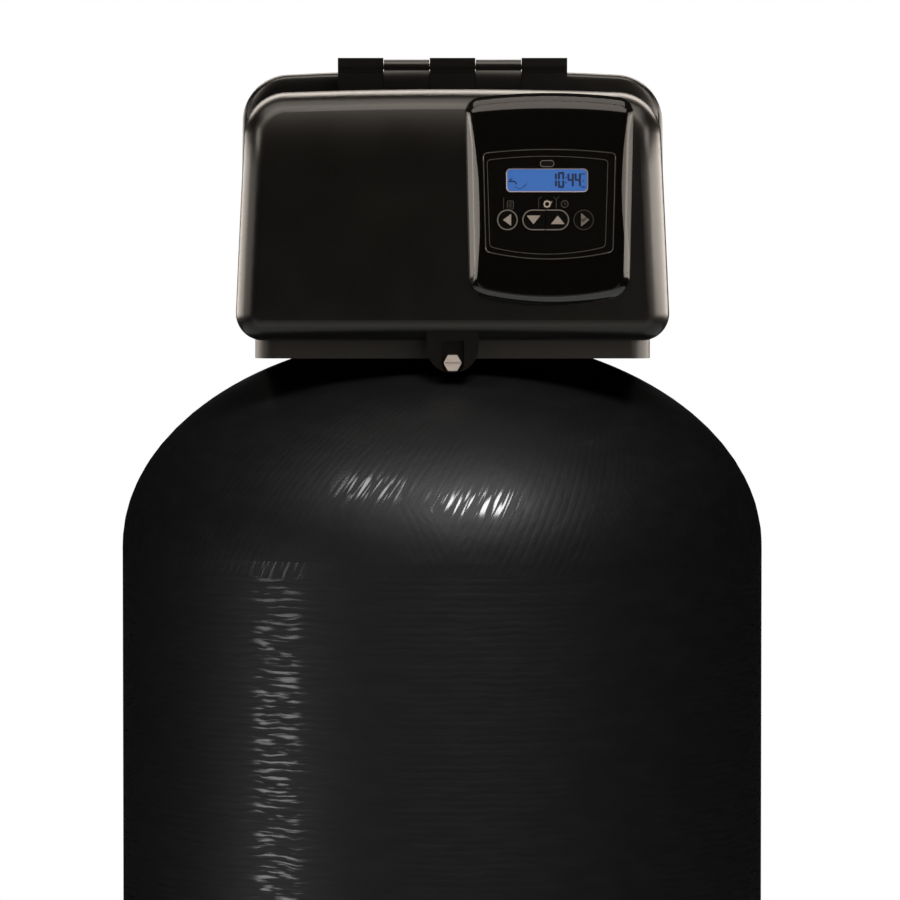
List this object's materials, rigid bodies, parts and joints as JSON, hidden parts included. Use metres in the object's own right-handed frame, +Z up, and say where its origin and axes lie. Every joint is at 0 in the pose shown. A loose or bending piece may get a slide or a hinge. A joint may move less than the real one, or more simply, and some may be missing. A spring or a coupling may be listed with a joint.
{
  "type": "backwashing carbon water filter",
  "caption": "Tall black wound tank with a motor driven backwash valve under a hinged cover with a blue display, and a bypass valve behind.",
  "frame": {"origin": "on the floor on the tank's axis", "axes": "+Z up along the tank's axis; the display faces -Y; +X is to the viewer's right"},
  "size_m": [0.4196, 0.4194, 1.82],
  "materials": {
    "tank_winding": "resin-wet black filament winding over fibreglass",
    "boot_plastic": "matt black moulded plastic",
    "neck_plastic": "black glass-filled plastic",
    "natural_plastic": "natural white moulded plastic",
    "seal_rubber": "lubricated black rubber",
    "carbon_granules": "activated coconut shell carbon granules",
    "gravel": "washed quartz gravel",
    "valve_plastic": "black glass-filled moulding",
    "acetal": "white acetal",
    "steel": "brushed stainless steel",
    "motor_steel": "zinc plated steel can",
    "cover_plastic": "satin black moulded cover",
    "panel_gloss": "high gloss black",
    "key_gloss": "gloss black key caps",
    "screen": "backlit blue liquid crystal screen",
    "light_pipe": "smoked clear acrylic",
    "circuit_board": "green circuit board",
    "handle_red": "red moulded handle"
  },
  "bodies": {
    "tank": {"tank_shell": "tank_winding", "neck_insert": "neck_plastic", "tank_base": "boot_plastic", "tank_seal": "seal_rubber", "riser_tube": "natural_plastic", "riser_seal": "seal_rubber", "bottom_distributor": "natural_plastic", "top_distributor": "natural_plastic", "gravel_bed": "gravel", "carbon_bed": "carbon_granules", "valve_body": "valve_plastic", "stack_spacers": "acetal", "stack_seals": "seal_rubber", "drive_cap": "valve_plastic", "injector_cap": "valve_plastic", "injector_screws": "steel", "drain_fitting": "natural_plastic", "drain_seal": "seal_rubber", "drive_bracket": "valve_plastic", "bracket_screws": "steel", "drive_motor": "motor_steel", "gear_axle": "steel", "gear_clip": "steel", "base_tray": "cover_plastic", "tray_screws": "steel", "rear_cover": "cover_plastic", "rear_cover_screws": "steel", "cable_gland": "seal_rubber", "hinge_pin": "steel", "bypass_body": "valve_plastic", "rotor_caps": "valve_plastic", "union_nuts": "valve_plastic", "port_seals": "seal_rubber", "inlet_tailpiece": "valve_plastic", "outlet_tailpiece": "valve_plastic"},
    "lid": {"front_cover": "cover_plastic", "display_panel": "panel_gloss", "display_window": "panel_gloss", "lcd_module": "screen", "led_light_pipe": "light_pipe", "control_board": "circuit_board", "key_switches": "valve_plastic", "board_cover": "cover_plastic", "board_screws": "steel"},
    "cover_screw": {"cover_screw": "steel", "screw_clip": "steel"},
    "key_left": {"key_left": "key_gloss"},
    "key_down": {"key_down": "key_gloss"},
    "key_up": {"key_up": "key_gloss"},
    "key_right": {"key_right": "key_gloss"},
    "drive_gear": {"drive_gear": "acetal"},
    "reduction_gear": {"reduction_gear": "acetal"},
    "motor_pinion": {"motor_pinion": "acetal"},
    "piston": {"piston": "acetal", "piston_rod": "steel"},
    "inlet_valve": {"inlet_rotor": "acetal", "inlet_handle": "handle_red"},
    "outlet_valve": {"outlet_rotor": "acetal", "outlet_handle": "handle_red"}
  },
  "joints": [
    {"name": "lid_hinge", "type": "hinge", "parent": "tank", "child": "lid", "pos_m": [0.0066, -0.036, 1.8147], "axis": [-1, 0, 0], "range_deg": [0, 100]},
    {"name": "cover_screw_turn", "type": "hinge", "parent": "lid", "child": "cover_screw", "pos_m": [0.0066, -0.136, 1.629], "axis": [0, -1, 0], "continuous": true},
    {"name": "key_left_press", "type": "slide", "parent": "lid", "child": "key_left", "axis": [0, 1, 0], "range_m": [0, 0.0008], "stiffness_N_per_m": 400},
    {"name": "key_down_press", "type": "slide", "parent": "lid", "child": "key_down", "axis": [0, 1, 0], "range_m": [0, 0.0008], "stiffness_N_per_m": 400},
    {"name": "key_up_press", "type": "slide", "parent": "lid", "child": "key_up", "axis": [0, 1, 0], "range_m": [0, 0.0008], "stiffness_N_per_m": 400},
    {"name": "key_right_press", "type": "slide", "parent": "lid", "child": "key_right", "axis": [0, 1, 0], "range_m": [0, 0.0008], "stiffness_N_per_m": 400},
    {"name": "drive_gear_turn", "type": "hinge", "parent": "tank", "child": "drive_gear", "pos_m": [0, -0.071, 1.722], "axis": [0, 1, 0], "range_deg": [0, 900]},
    {"name": "reduction_gear_turn", "type": "hinge", "parent": "tank", "child": "reduction_gear", "pos_m": [-0.04314, -0.079, 1.74304], "axis": [0, 1, 0], "range_deg": [-3901, 1]},
    {"name": "motor_pinion_turn", "type": "hinge", "parent": "tank", "child": "motor_pinion", "pos_m": [-0.0755, -0.079, 1.75882], "axis": [0, 1, 0], "range_deg": [-1, 11701]},
    {"name": "piston_slide", "type": "slide", "parent": "tank", "child": "piston", "axis": [0, -1, 0], "range_m": [-0.00001, 0.03001]},
    {"name": "inlet_handle_turn", "type": "hinge", "parent": "tank", "child": "inlet_valve", "pos_m": [0.041, 0.1319, 1.7], "axis": [0, 0, -1], "range_deg": [0, 90]},
    {"name": "outlet_handle_turn", "type": "hinge", "parent": "tank", "child": "outlet_valve", "pos_m": [-0.041, 0.1319, 1.7], "axis": [0, 0, -1], "range_deg": [0, 90]}
  ],
  "couplings": [
    {"joint": "reduction_gear_turn", "follows": "drive_gear_turn", "ratio": -4.3333},
    {"joint": "motor_pinion_turn", "follows": "drive_gear_turn", "ratio": 13},
    {"joint": "piston_slide", "follows": "drive_gear_turn", "m_per_rad": 0.0019099}
  ]
}
